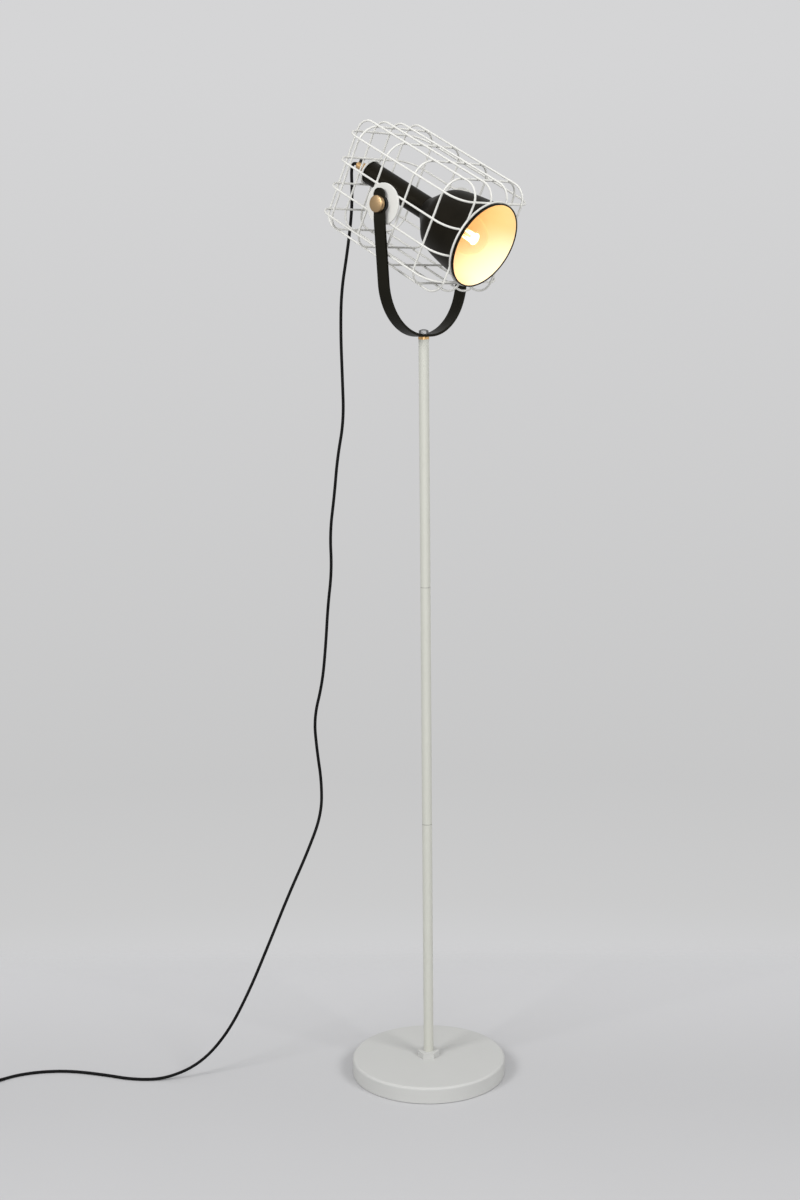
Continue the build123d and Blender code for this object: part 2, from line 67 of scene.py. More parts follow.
# ---- Camera ----
# A long lens a little above the middle of the lamp, to its front and left, looking slightly
# down, as the photograph was taken.
camera_place = (-2.1277, -1.7854, 1.2643)
camera_heading = math.radians(-49.17)
camera_dip = math.radians(9.733)
camera_lean = math.radians(-0.54)
camera = bpy.data.objects.new("camera", bpy.data.cameras.new("camera"))
camera.data.sensor_fit = "HORIZONTAL"
camera.data.sensor_width = 36
camera.data.lens = 80.5
camera.data.clip_end = 60
camera.matrix_world = (
    Matrix.Translation(camera_place)
    @ Matrix.Rotation(camera_heading, 4, "Z")
    @ Matrix.Rotation(math.pi / 2 - camera_dip, 4, "X")
    @ Matrix.Rotation(camera_lean, 4, "Z")
)
bpy.context.scene.collection.objects.link(camera)
bpy.context.scene.camera = camera
bpy.context.scene.view_settings.view_transform = "Standard"


# ---- Studio ----
# A pale floor that fades into an even grey wall, two large soft lights in front, left and
# right of the lamp, a weaker one between them and another above.
class Socket:
    """A socket of a node tree. Expressions on it add Math nodes."""

    def __init__(self, tree, socket=None):
        self.tree = tree
        self.socket = socket

    def node(self, kind, settings, inputs, output=0):
        made = self.tree.nodes.new(kind)
        for name, value in settings.items():
            if name == "stops":
                ramp = made.color_ramp.elements
                while len(ramp) < len(value):
                    ramp.new(0.5)
                for stop, (place, colour) in zip(ramp, value):
                    stop.position = place
                    stop.color = colour
            else:
                setattr(made, name, value)
        for name, value in inputs.items():
            if isinstance(value, Socket):
                self.tree.links.new(value.socket, made.inputs[name])
            else:
                made.inputs[name].default_value = value
        return Socket(self.tree, made.outputs[output])

    def math(self, operation, *values):
        return self.node("ShaderNodeMath", {"operation": operation}, dict(enumerate(values)))

    def __add__(self, other):
        return self.math("ADD", self, other)

    def __radd__(self, other):
        return self.math("ADD", other, self)

    def __sub__(self, other):
        return self.math("SUBTRACT", self, other)

    def __rsub__(self, other):
        return self.math("SUBTRACT", other, self)

    def __mul__(self, other):
        return self.math("MULTIPLY", self, other)

    def __rmul__(self, other):
        return self.math("MULTIPLY", other, self)

    def axis(self, letter):
        """One coordinate of a place."""
        return self.node("ShaderNodeSeparateXYZ", {}, {0: self}, letter)

    def length(self):
        """How far a place is from the zero of its coordinates."""
        return self.node("ShaderNodeVectorMath", {"operation": "LENGTH"}, {0: self}, output=1)

    def ramp(self, low, high):
        """0 below low, 1 above high, smooth between."""
        return self.node(
            "ShaderNodeMapRange",
            {"interpolation_type": "SMOOTHSTEP"},
            {"Value": self, "From Min": low, "From Max": high},
        )

    def mix(self, first, second):
        """A colour between two, by this socket."""
        settings = {"data_type": "RGBA"}
        return self.node("ShaderNodeMix", settings, {0: self, 6: first, 7: second}, output=2)

    def drives(self, shader, name):
        self.tree.links.new(self.socket, shader.inputs[name])


def finish(name, **constants):
    """A material, its shader with the values that are the same all over, and its Object coordinates."""
    material = bpy.data.materials.new(name)
    material.use_nodes = True
    shader = material.node_tree.nodes["Principled BSDF"]
    for socket, value in constants.items():
        shader.inputs[socket.replace("_", " ")].default_value = value
    coordinates = Socket(material.node_tree).node("ShaderNodeTexCoord", {}, {}, "Object")
    return material, shader, coordinates


def mottle(coordinates, scale, detail=3.0):
    """Cloudy noise from 0 to 1, with this many blotches in a metre."""
    return coordinates.node(
        "ShaderNodeTexNoise", {}, {"Vector": coordinates, "Scale": scale, "Detail": detail}
    )


near_paper_low = (0.530, 0.530, 0.537, 1)
near_paper_high = (0.545, 0.545, 0.552, 1)
far_paper = (0.665, 0.665, 0.675, 1)
away_from_camera = (0.766, 0.643, 0)
floor_radius = 1.8
paper, paper_shader, paper_place = finish("floor_paper", Roughness=0.9, Specular_IOR_Level=0.1)
set_back = paper_place.node(
    "ShaderNodeVectorMath", {"operation": "DOT_PRODUCT"}, {0: paper_place, 1: away_from_camera}, output=1
)
near_paper = mottle(paper_place, 3.0).mix(near_paper_low, near_paper_high)
set_back.ramp(-0.15, 0.5).mix(near_paper, far_paper).drives(paper_shader, "Base Color")
faded_out = paper_place.length().ramp(0.95, 1.75)
faded_back = set_back.ramp(0.38, 0.60)
((1 - faded_out) * (1 - faded_back)).drives(paper_shader, "Alpha")
bpy.ops.mesh.primitive_circle_add(vertices=64, radius=floor_radius, fill_type="NGON")
floor = bpy.context.object
floor.name = "floor"
floor.data.materials.append(paper)

world = bpy.data.worlds.new("studio")
world.use_nodes = True
bpy.context.scene.world = world
air = Socket(world.node_tree)
seen = air.node("ShaderNodeLightPath", {}, {}, "Is Camera Ray")
mirrored = air.node("ShaderNodeLightPath", {}, {}, "Is Glossy Ray")
through = air.node("ShaderNodeLightPath", {}, {}, "Is Transmission Ray")
upward = air.node("ShaderNodeTexCoord", {}, {}, "Generated").axis("Z")
wall_height = upward + 0.5
wall = wall_height.node(
    "ShaderNodeValToRGB",
    {
        "stops": [
            (0.05, (0.545, 0.545, 0.552, 1)),
            (0.125, (0.575, 0.575, 0.582, 1)),
            (0.145, (0.630, 0.632, 0.640, 1)),
            (0.170, (0.600, 0.600, 0.602, 1)),
            (0.235, (0.574, 0.574, 0.576, 1)),
            (0.620, (0.665, 0.665, 0.672, 1)),
        ]
    },
    {"Fac": wall_height},
)
fill_light = upward.ramp(-0.7, 0.5).mix((0.24, 0.24, 0.243, 1), (0.45, 0.45, 0.454, 1))
surroundings = (seen + mirrored + through).mix(fill_light, wall)
surroundings.drives(world.node_tree.nodes["Background"], "Color")


def soft_light(name, place, target, size, power):
    """A square soft box that faces a point."""
    lamp = bpy.data.objects.new(name, bpy.data.lights.new(name, "AREA"))
    lamp.data.shape = "SQUARE"
    lamp.data.size = size
    lamp.data.energy = power
    lamp.location = place
    lamp.rotation_euler = (Vector(target) - Vector(place)).to_track_quat("-Z", "Y").to_euler()
    bpy.context.scene.collection.objects.link(lamp)


soft_light("soft_box_left", (-3.11, 0.30, 2.6), (0, 0, 0.9), 1.3, 68)
soft_light("soft_box_right", (-0.20, -3.12, 2.6), (0, 0, 0.9), 1.3, 64)
soft_light("soft_box_front", (-2.3, -1.9, 1.1), (0, 0, 0.6), 1.0, 13)
soft_light("soft_box_above", (-0.4, -0.3, 4.2), (0, 0, 0.5), 1.6, 8)

# ---- Cord ----
# A round rubber-sheathed lead, out of the brass grip, down behind the pole and along the
# floor to its switch. What is left is wound in a flat coil of two layers beside the switch.
cord_exit = (0, 0.1305, 1.4622)
cord_diameter = 0.005
cord_bends = [
    cord_exit,
    (0, 0.13716, 1.46560),
    (0, 0.1435, 1.4623),
    (0, 0.1453, 1.4500),
    (0.0005, 0.1447, 1.4280),
    (-0.0005, 0.1456, 1.3860),
    (-0.0060, 0.1510, 1.3280),
    (-0.0130, 0.1585, 1.2680),
    (-0.0138, 0.1605, 1.2040),
    (-0.0132, 0.1588, 1.1340),
    (-0.0120, 0.1580, 1.0640),
    (-0.0195, 0.1665, 1.0040),
    (-0.0230, 0.1710, 0.9440),
    (-0.0285, 0.1770, 0.8840),
    (-0.0270, 0.1755, 0.8220),
    (-0.0315, 0.1815, 0.7620),
    (-0.0345, 0.1845, 0.7000),
    (-0.0385, 0.1900, 0.6340),
    (-0.0485, 0.2010, 0.5760),
    (-0.0460, 0.1980, 0.5220),
    (-0.0420, 0.1920, 0.4660),
    (-0.0510, 0.1855, 0.4140),
    (-0.0800, 0.1920, 0.3540),
    (-0.1130, 0.2045, 0.2880),
    (-0.1490, 0.2150, 0.2140),
    (-0.1860, 0.2270, 0.1380),
    (-0.2210, 0.2440, 0.0720),
    (-0.2580, 0.2710, 0.0240),
    (-0.3030, 0.3070, 0.0026),
    (-0.3380, 0.3460, 0.0026),
    (-0.3560, 0.3960, 0.0026),
    (-0.3810, 0.4490, 0.0026),
    (-0.4120, 0.4840, 0.0026),
    (-0.4450, 0.5050, 0.0026),
    (-0.4690, 0.5115, 0.0026),
    (-0.4860, 0.5130, 0.0036),
    (-0.5020, 0.5130, 0.0036),
    (-0.5800, 0.5130, 0.0036),
]
coil_x, coil_y = -0.585, 0.4775
coil_low = 0.0036
coil_layer_pitch = 0.0058
coil_start_radius = 0.0355
coil_turn_pitch = 0.0066
coil_mean_radius = 0.0258
coil_turns = 5
half_turns_inward = 5.0
coil_points_a_turn = 16
plug_approach = 0.0035
plug_overlap = 0.004
# The cord's line runs a little inside the points that lead it, so a turn's points stand outside it.
half_step = math.pi / coil_points_a_turn
stand_out = 1 / (0.5 * (1 + math.cos(half_step)) * math.cos(half_step))
coil_points = []
for step in range(coil_turns * coil_points_a_turn + 1):
    half_turns = 2 * step / coil_points_a_turn
    wound_in = min(half_turns, half_turns_inward)
    wound_out = max(half_turns - half_turns_inward - 1, 0.0)
    climbed = min(max(half_turns - half_turns_inward, 0.0), 1.0)
    reach = (coil_start_radius + (wound_out - wound_in) * coil_turn_pitch / 2) * stand_out
    angle = math.pi / 2 + math.pi * half_turns
    coil_points.append(
        (
            coil_x + reach * math.cos(angle),
            coil_y + reach * math.sin(angle),
            coil_low + coil_layer_pitch * climbed,
        )
    )
# A last quarter turn, a little smaller, leads to the plug beside the coil.
last_stand_out = 1.02
last_radius = coil_start_radius - coil_turn_pitch / 4
last_y = coil_y + coil_start_radius - coil_turn_pitch / 2 - last_radius
top_layer = coil_low + coil_layer_pitch
for degrees in (112.5, 135, 157.5):
    angle = math.radians(degrees)
    reach = last_radius * last_stand_out
    coil_points.append((coil_x + reach * math.cos(angle), last_y + reach * math.sin(angle), top_layer))
plug_x = coil_x - last_radius
plug_nose_y = last_y - cord_diameter
coil_points.append((plug_x, plug_nose_y + plug_approach, top_layer))
coil_points.append((plug_x, plug_nose_y - plug_overlap, top_layer))

curve = bpy.data.curves.new("cord_line", "CURVE")
curve.dimensions = "3D"
curve.resolution_u = 12
spline = curve.splines.new("NURBS")
spline.points.add(len(cord_bends) + len(coil_points) - 1)
for point, place in zip(spline.points, cord_bends + coil_points):
    point.co = (*place, 1)
spline.order_u = 3
spline.use_endpoint_u = True
cord_line = bpy.data.objects.new("cord_line", curve)
bpy.context.scene.collection.objects.link(cord_line)
bare_line = bpy.data.meshes.new_from_object(cord_line)
curve.bevel_depth = cord_diameter / 2
curve.bevel_resolution = 3
curve.use_fill_caps = True
cord_mesh = bpy.data.meshes.new_from_object(cord_line)
bpy.data.objects.remove(cord_line)
cord = bpy.data.objects.new("cord_lead", cord_mesh)
bpy.context.scene.collection.objects.link(cord)
cord_mesh.shade_smooth()


def relief(height, shader, strength, depth):
    """A height as small bumps, in metres."""
    height.node(
        "ShaderNodeBump", {}, {"Height": height, "Strength": strength, "Distance": depth}
    ).drives(shader, "Normal")


cord_rubber, cord_shader, cord_place = finish("cord_rubber", Specular_IOR_Level=0.1)
scuffs = mottle(cord_place, 160.0, 4.0)
scuff_colour = scuffs.ramp(0.45, 0.75).mix((0.0025, 0.0025, 0.0025, 1), (0.006, 0.006, 0.0065, 1))
scuff_colour.drives(cord_shader, "Base Color")
(0.42 + scuffs * 0.2).drives(cord_shader, "Roughness")
relief(mottle(cord_place, 900.0, 2.0), cord_shader, 0.4, 0.0001)
cord_mesh.materials.clear()
cord_mesh.materials.append(cord_rubber)
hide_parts("cord", "cord_coil")
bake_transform(cord)


# ---- Switch on the cord ----
# A moulded in-line switch in two halves with a rocker between them. A ribbed rubber sleeve,
# flat underneath, eases the cord out of each end.
def take_up(name):
    """The new primitive, named, with its place in its mesh, in edit mode and selected all over."""
    piece = bpy.context.object
    piece.name = piece.data.name = name
    bpy.ops.object.transform_apply(location=True, rotation=True, scale=True)
    bpy.ops.object.mode_set(mode="EDIT")
    bpy.ops.mesh.select_mode(type="VERT")
    bpy.ops.mesh.select_all(action="SELECT")
    return piece


def draw_out(name, rings, foot, axis, around, ends="NOTHING"):
    """A circle round an axis, extruded from ring to ring of (radius, distance from the foot)."""
    foot, axis = Vector(foot), Vector(axis)
    radius, distance = rings[0]
    bpy.ops.object.select_all(action="DESELECT")
    bpy.ops.mesh.primitive_circle_add(
        vertices=around,
        radius=radius,
        fill_type=ends,
        location=foot + axis * distance,
        rotation=(0, math.pi / 2, 0) if axis.x else (math.pi / 2, 0, 0),
    )
    piece = take_up(name)
    for (near, here), (far, there) in zip(rings, rings[1:]):
        bpy.ops.mesh.extrude_region_move(TRANSFORM_OT_translate={"value": axis * (there - here)})
        bpy.ops.transform.resize(
            value=[1 if along else far / near for along in axis], center_override=foot + axis * there
        )
    return piece


def put_down(smooth_under=40):
    """Out of edit mode, with every face turned outwards and the soft edges shaded smooth."""
    bpy.ops.mesh.select_mode(type="VERT")
    bpy.ops.mesh.select_all(action="SELECT")
    bpy.ops.mesh.normals_make_consistent(inside=False)
    bpy.ops.object.mode_set(mode="OBJECT")
    bpy.ops.object.shade_smooth_by_angle(angle=math.radians(smooth_under))


def paint_on(piece, material):
    """The piece's material, in place of any it had."""
    piece.data.materials.clear()
    piece.data.materials.append(material)


def dress(material, *nodes):
    """A material on parts whose CAD shape stays."""
    for name in nodes:
        paint_of_node = frame["nodes"][name].data.materials
        paint_of_node.clear()
        paint_of_node.append(material)


def blotchy(name, dark, light, scale, smoothest, uneven, detail=3.0, **constants):
    """A material whose colour and gloss vary in soft blotches, and its shader, place and blotches."""
    material, shader, place = finish(name, **constants)
    blotches = mottle(place, scale, detail)
    blotches.mix(dark, light).drives(shader, "Base Color")
    (smoothest + blotches * uneven).drives(shader, "Roughness")
    return material, shader, place, blotches


moulding, moulding_shader, moulding_place, _ = blotchy(
    "black_plastic", (0.008, 0.008, 0.009, 1), (0.016, 0.016, 0.017, 1), 90.0, 0.4, 0.25, 5.0,
    Specular_IOR_Level=0.3,
)
relief(mottle(moulding_place, 2400.0, 2.0), moulding_shader, 0.5, 0.00008)
dress(moulding, "switch_lower", "switch_upper", "switch_rocker", "socket_body")

switch_y = 0.513
sleeve_length = 0.020
sleeve_underside = 0.00008
# Three ribs, each lower than the one before. A groove starts and ends this far past each rib.
rib_height = 0.0006
groove_start, groove_end = 0.0006, 0.0018
sleeve_rings = [(0.0053, 0.0)]
for near_crest, far_crest, rib_start, rib_end in (
    (0.0055, 0.0055, 0.0006, 0.0030),
    (0.0052, 0.0051, 0.0054, 0.0076),
    (0.0049, 0.0048, 0.0100, 0.0122),
):
    groove = near_crest - rib_height
    sleeve_rings += [(near_crest, rib_start), (far_crest, rib_end)]
    sleeve_rings += [(groove, rib_end + groove_start), (groove, rib_end + groove_end)]
sleeve_rings += [(0.0046, 0.0146), (0.0044, 0.0192), (0.0040, 0.0199), (0.0030, sleeve_length)]
for side, switch_end, name in ((1, -0.502, "switch_sleeve_near"), (-1, -0.580, "switch_sleeve_far")):
    root = (switch_end - side * sleeve_length, switch_y, coil_low)
    sleeve = draw_out(name, sleeve_rings, root, (side, 0, 0), around=32)
    bpy.ops.mesh.select_all(action="SELECT")
    bpy.ops.mesh.bisect(
        plane_co=(0, 0, sleeve_underside),
        plane_no=(0, 0, 1),
        clear_inner=True,
        use_fill=True,
        threshold=1e-6,
    )
    put_down(50)
    paint_on(sleeve, moulding)
    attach(sleeve, "yoke")


# ---- Tie round the coil ----
# A woven strap, nearly a millimetre thick and 6 mm wide, sewn to a loop round the coil's turns
# at one place.
def pick(piece, wanted):
    """Selects the faces for which wanted(place, normal) is true, and nothing else."""
    bpy.ops.mesh.select_mode(type="FACE")
    bpy.ops.mesh.select_all(action="DESELECT")
    shape = bmesh.from_edit_mesh(piece.data)
    for face in shape.faces:
        face.select = bool(wanted(face.calc_center_median(), face.normal))
    shape.select_flush_mode()
    bmesh.update_edit_mesh(piece.data)


def modify(piece, kind, **settings):
    """A modifier with these settings, applied."""
    modifier = piece.modifiers.new(kind.title(), kind)
    for name, value in settings.items():
        setattr(modifier, name, value)
    bpy.ops.object.modifier_apply(modifier=modifier.name)


def soften_edges(piece, width, segments, smooth_under):
    """A small round on every sharp edge of a finished piece."""
    modify(
        piece, "BEVEL", width=width, segments=segments, limit_method="ANGLE", angle_limit=math.radians(50)
    )
    bpy.ops.object.shade_smooth_by_angle(angle=math.radians(smooth_under))


def stripes(coordinates, direction, scale):
    """Even bands from 0 to 1 across a direction."""
    settings = {"bands_direction": direction}
    return coordinates.node("ShaderNodeTexWave", settings, {"Vector": coordinates, "Scale": scale})


tie_size = (0.006, 0.0212, 0.0129)
tie_place = (coil_x, coil_y - coil_mean_radius, (coil_low + top_layer) / 2)
tie_corner = 0.0045
tie_thickness = 0.0009
bpy.ops.object.select_all(action="DESELECT")
bpy.ops.mesh.primitive_cube_add(size=1, location=tie_place, scale=tie_size)
tie = take_up("coil_tie")
pick(tie, lambda place, normal: abs(normal.x) > 0.9)
bpy.ops.mesh.delete(type="FACE")
bpy.ops.mesh.select_all(action="SELECT")
bpy.ops.mesh.bevel(offset=tie_corner, segments=6, affect="EDGES")
bpy.ops.mesh.select_all(action="SELECT")
bpy.ops.mesh.subdivide(number_cuts=1)
put_down(60)
modify(tie, "SOLIDIFY", thickness=tie_thickness, offset=-1)
soften_edges(tie, 0.0002, 2, 40)

webbing, webbing_shader, webbing_place = finish(
    "tie_fabric", Roughness=0.85, Specular_IOR_Level=0.2, Sheen_Weight=0.3
)
weave = stripes(webbing_place, "X", 420.0) * stripes(webbing_place, "DIAGONAL", 300.0)
weave.mix((0.006, 0.006, 0.007, 1), (0.045, 0.045, 0.048, 1)).drives(webbing_shader, "Base Color")
relief(weave, webbing_shader, 0.8, 0.0002)
paint_on(tie, webbing)
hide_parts("cord_tie")
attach(tie, "yoke")

# ---- Plug ----
# A flat two-pin plug of black rubber, moulded onto the cord's end, with a long ribbed nose
# that eases the cord out of it. Its pins are plated metal.
plug_rubber, plug_shader, plug_place, _ = blotchy(
    "plug_moulding", (0.008, 0.008, 0.009, 1), (0.017, 0.017, 0.018, 1), 120.0, 0.38, 0.22, 4.0,
    Specular_IOR_Level=0.3,
)
nose_ribs = stripes(plug_place, "Y", 95.0).ramp(0.3, 0.7)
on_nose = plug_place.axis("Y").ramp(plug_nose_y - 0.026, plug_nose_y - 0.022)
relief(nose_ribs * on_nose, plug_shader, 1.0, 0.0007)
dress(plug_rubber, "plug_body")

plating, *_ = blotchy(
    "pin_metal", (0.55, 0.54, 0.50, 1), (0.68, 0.67, 0.63, 1), 300.0, 0.22, 0.2, 5.0, Metallic=1.0
)
dress(plating, "plug_pins")


# ---- Base ----
# A pressed steel cover, satin white, over a cast iron disc on a thin rubber pad. A large
# hexagon nut, painted with it, locks the pole's stud.
def paint(name, thin, thick, smoothest=0.36, specular=0.45, peel=0.22, sheen=(1, 1, 1, 1)):
    """A sprayed satin paint: faint clouds in its colour and gloss, and a fine orange peel."""
    material, shader, place, _ = blotchy(
        name, thin, thick, 14.0, smoothest, 0.14, Specular_IOR_Level=specular, Specular_Tint=sheen
    )
    relief(mottle(place, 750.0, 2.0), shader, peel, 0.0002)
    return material


def bare_metal(name, dark, bright, smoothest=0.25, scale=(1, 1, 1)):
    """Metal with fine tool marks, drawn out along the axis where scale is least."""
    material, shader, place = finish(name, Metallic=1.0)
    drawn = place.node("ShaderNodeMapping", {}, {"Vector": place, "Scale": scale})
    marks = mottle(drawn, 500.0)
    mottle(place, 45.0, 2.0).mix(dark, bright).drives(shader, "Base Color")
    (smoothest + marks * 0.22).drives(shader, "Roughness")
    relief(marks, shader, 0.25, 0.00006)
    return material


white_paint = paint(
    "white_paint", (0.530, 0.532, 0.516, 1), (0.555, 0.557, 0.541, 1), smoothest=0.5, specular=0.2
)
dress(white_paint, "base_cover", "base_nut")

cast_iron = bare_metal("iron", (0.10, 0.10, 0.105, 1), (0.17, 0.165, 0.16, 1), smoothest=0.5)
dress(cast_iron, "base_weight")

pad_rubber, pad_shader, _, pad_grain = blotchy(
    "pad_rubber", (0.010, 0.010, 0.010, 1), (0.028, 0.028, 0.027, 1), 260.0, 0.7, 0.2, 5.0,
    Specular_IOR_Level=0.2,
)
relief(pad_grain, pad_shader, 0.6, 0.0004)
dress(pad_rubber, "base_pad")

along_pole = (1, 1, 0.08)
steel = bare_metal(
    "steel", (0.36, 0.36, 0.37, 1), (0.48, 0.48, 0.49, 1), smoothest=0.28, scale=along_pole
)
dress(steel, "base_stud", "pole_foot_plug", "swivel_stud")

# ---- Pole ----
# Three steel tubes, painted a warm white, screwed together over plugs, each with a thin
# bright ring that shows at the joint.
pole_paint = paint("pole_paint", (0.535, 0.538, 0.485, 1), (0.565, 0.568, 0.515, 1), smoothest=0.34)
dress(pole_paint, "pole_lower", "pole_middle", "pole_upper")
joint_steel = bare_metal("joint_steel", (0.20, 0.20, 0.19, 1), (0.30, 0.30, 0.28, 1), smoothest=0.34)
dress(joint_steel, "pole_coupling_lower", "pole_coupling_upper")

# ---- Swivel ----
# A fluted brass collar on the pole's top, under the yoke. Above the yoke a small capped nut of
# dark steel holds it on the stud.
collar_brass = bare_metal(
    "collar_brass", (0.52, 0.32, 0.13, 1), (0.66, 0.43, 0.20, 1), smoothest=0.26, scale=(1, 1, 0.15)
)
dress(collar_brass, "brass_collar")
dark_steel = bare_metal("dark_steel", (0.14, 0.14, 0.14, 1), (0.24, 0.24, 0.24, 1), smoothest=0.22)
dress(dark_steel, "swivel_nut")

# ---- Yoke ----
# A flat steel strap, 20 by 4 mm, bent to a U with round ends and softly broken edges, painted
# satin black. It turns on the swivel stud and carries the cage on two screws.
strap_thickness = 0.004
strap_width = 0.020
strap_foot = 1.200
tilt_axis = 1.3945
strap_flat = 0.00565
strap_bend = 0.0865
limb_rise = math.radians(90 - 4.802)
limb_run = 0.0897
knee_bend = 0.040
strap_end = 1.408
screw_hole = 0.0031
stud_hole = 0.00405

bpy.ops.object.select_all(action="DESELECT")
bpy.ops.mesh.primitive_plane_add(size=1, location=(0, 0, strap_foot), rotation=(0, math.pi / 2, 0))
bpy.context.object.scale = (strap_thickness, strap_width, 1)
strap = take_up("yoke_bow")
bpy.ops.mesh.extrude_region_move(TRANSFORM_OT_translate={"value": (strap_flat, 0, 0)})
bow_centre = (strap_flat, 0, strap_foot + strap_bend)
bpy.ops.mesh.spin(steps=28, angle=limb_rise, center=bow_centre, axis=(0, 1, 0))
limb = Vector((math.cos(limb_rise), 0, math.sin(limb_rise))) * limb_run
bpy.ops.mesh.extrude_region_move(TRANSFORM_OT_translate={"value": limb})
inward = Vector((-math.sin(limb_rise), 0, math.cos(limb_rise)))
knee_centre = Vector(bow_centre) - inward * strap_bend + limb + inward * knee_bend
bpy.ops.mesh.spin(steps=3, angle=math.pi / 2 - limb_rise, center=knee_centre, axis=(0, 1, 0))
limb_x = knee_centre.x + knee_bend
bpy.ops.mesh.extrude_region_move(TRANSFORM_OT_translate={"value": (0, 0, strap_end - knee_centre.z)})
before = 0.0
for degrees in (12, 24, 36, 48, 59, 69, 77, 83, 87):
    turn = math.radians(degrees)
    rise = strap_width / 2 * (math.sin(turn) - math.sin(before))
    bpy.ops.mesh.extrude_region_move(TRANSFORM_OT_translate={"value": (0, 0, rise)})
    bpy.ops.transform.resize(value=(1, math.cos(turn) / math.cos(before), 1), center_override=(limb_x, 0, 0))
    before = turn
pick(strap, lambda place, normal: abs(place.x) < 1e-5)
bpy.ops.mesh.delete(type="ONLY_FACE")
put_down()
modify(strap, "MIRROR", merge_threshold=0.0001)
for radius, depth, place, tip in (
    (screw_hole, 0.23, (0, 0, tilt_axis), math.pi / 2),
    (stud_hole, 0.02, (0, 0, strap_foot), 0),
):
    bpy.ops.object.select_all(action="DESELECT")
    bpy.ops.mesh.primitive_cylinder_add(
        vertices=32, radius=radius, depth=depth, location=place, rotation=(0, tip, 0)
    )
    drill = bpy.context.object
    bpy.context.view_layer.objects.active = strap
    modify(strap, "BOOLEAN", operation="DIFFERENCE", object=drill, solver="EXACT")
    bpy.data.objects.remove(drill)
strap.select_set(True)
soften_edges(strap, 0.0007, 3, 35)
yoke_paint = paint(
    "yoke_paint", (0.0042, 0.0038, 0.0020, 1), (0.0072, 0.0066, 0.0040, 1),
    specular=0.12, peel=0.25, sheen=(1, 0.95, 0.78, 1),
)
paint_on(strap, yoke_paint)
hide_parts("yoke_strap")
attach(strap, "yoke")

# ---- Cage ----
# Round-cornered loops of 3.2 mm steel wire in three directions, spot-welded where they cross,
# with a ring for the shade's mouth, one for the neck, and a side plate for each pivot.
wire_paint = paint(
    "wire_paint", (0.68, 0.675, 0.64, 1), (0.72, 0.715, 0.68, 1), smoothest=0.38, peel=0.15
)
cage_names = ("cage_", "pivot_disc", "pivot_boss", "mouth_ring", "neck_ring")
dress(wire_paint, *[name for name in frame["nodes"] if name.startswith(cage_names)])


# ---- Pivots ----
# On each side a turned brass knob with a slightly crowned face and its screw, through the
# yoke and a nylon washer into the plate's bush.
def smooth_line(points, steps):
    """Points on a smooth line through the given ones, with this many steps from each to the next."""
    places = [Vector(point) for point in points]
    runs = [ahead - here for here, ahead in zip(places, places[1:])]
    leans = [
        run.normalized().lerp(next_run.normalized(), run.length / (run.length + next_run.length))
        for run, next_run in zip(runs, runs[1:])
    ]
    first_lean = runs[0].normalized() * 1.5 - leans[0] * 0.5
    last_lean = runs[-1].normalized() * 1.5 - leans[-1] * 0.5
    leans = [first_lean, *leans, last_lean]
    line = [places[0]]
    for here, ahead, run, lean, next_lean in zip(places, places[1:], runs, leans, leans[1:]):
        handle = run.length / 3
        line += interpolate_bezier(
            here, here + lean * handle, ahead - next_lean * handle, ahead, steps + 1
        )[1:]
    return line


knob_brass, knob_shader, knob_place = finish("knob_brass", Metallic=1.0)
from_axis = knob_place.node(
    "ShaderNodeMapping", {}, {"Vector": knob_place, "Location": (0, 0, -tilt_axis), "Scale": (0, 1, 1)}
)
turning = from_axis.node(
    "ShaderNodeTexNoise",
    {"noise_dimensions": "1D"},
    {"W": from_axis.length(), "Scale": 2600.0, "Detail": 2.0},
)
knob_tone = mottle(knob_place, 70.0, 2.0)
knob_tone.mix((0.35, 0.235, 0.12, 1), (0.47, 0.325, 0.18, 1)).drives(knob_shader, "Base Color")
(0.30 + turning * 0.16).drives(knob_shader, "Roughness")
relief(turning, knob_shader, 0.25, 0.00006)

knob_back = 0.10155
knob_rings = [(0.0118, 0.0), (0.0125, 0.0007), (0.0125, 0.0058), (0.0123, 0.0063), (0.0119, 0.0066)]
knob_rings += smooth_line([(0.0110, 0.0069), (0.0080, 0.00745), (0.0040, 0.00785), (0.0006, 0.00795)], 2)
for side, name in ((-1, "knob_left"), (1, "knob_right")):
    foot = (side * knob_back, 0, tilt_axis)
    knob = draw_out(name + "_crowned", knob_rings, foot, (side, 0, 0), around=64, ends="NGON")
    put_down()
    paint_on(knob, knob_brass)
    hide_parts(name)
    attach(knob, name)

across_limbs = (0.08, 1, 1)
screw_steel = bare_metal(
    "screw_steel", (0.38, 0.38, 0.39, 1), (0.50, 0.50, 0.51, 1), scale=across_limbs
)
dress(screw_steel, "knob_screw_left", "knob_screw_right")
nylon, *_ = blotchy(
    "nylon", (0.010, 0.010, 0.010, 1), (0.018, 0.018, 0.018, 1), 180.0, 0.34, 0.2,
    Specular_IOR_Level=0.35, Subsurface_Weight=0.1,
)
dress(nylon, "pivot_washer_left", "pivot_washer_right", "grip_screw")

# ---- Neck ----
# A steel tube welded to the shade, closed behind by a pressed dome, both satin black. A brass
# cord grip with a black clamp screw is screwed into the dome.
head_tip = math.radians(27.4)
head_ahead = (0, -1, 0)


def tip_with_head(piece):
    """From the head's own level frame to its place on the lamp, tipped down by the tilt."""
    bpy.ops.object.select_all(action="DESELECT")
    piece.select_set(True)
    bpy.context.view_layer.objects.active = piece
    piece.location = (0, 0, tilt_axis)
    piece.rotation_euler = (head_tip, 0, 0)
    bpy.ops.object.transform_apply(location=True, rotation=True)


neck_radius = 0.0179
neck_back = -0.1170
grip_bore = 0.0036
dome_end = -0.1300
dome_around = 96
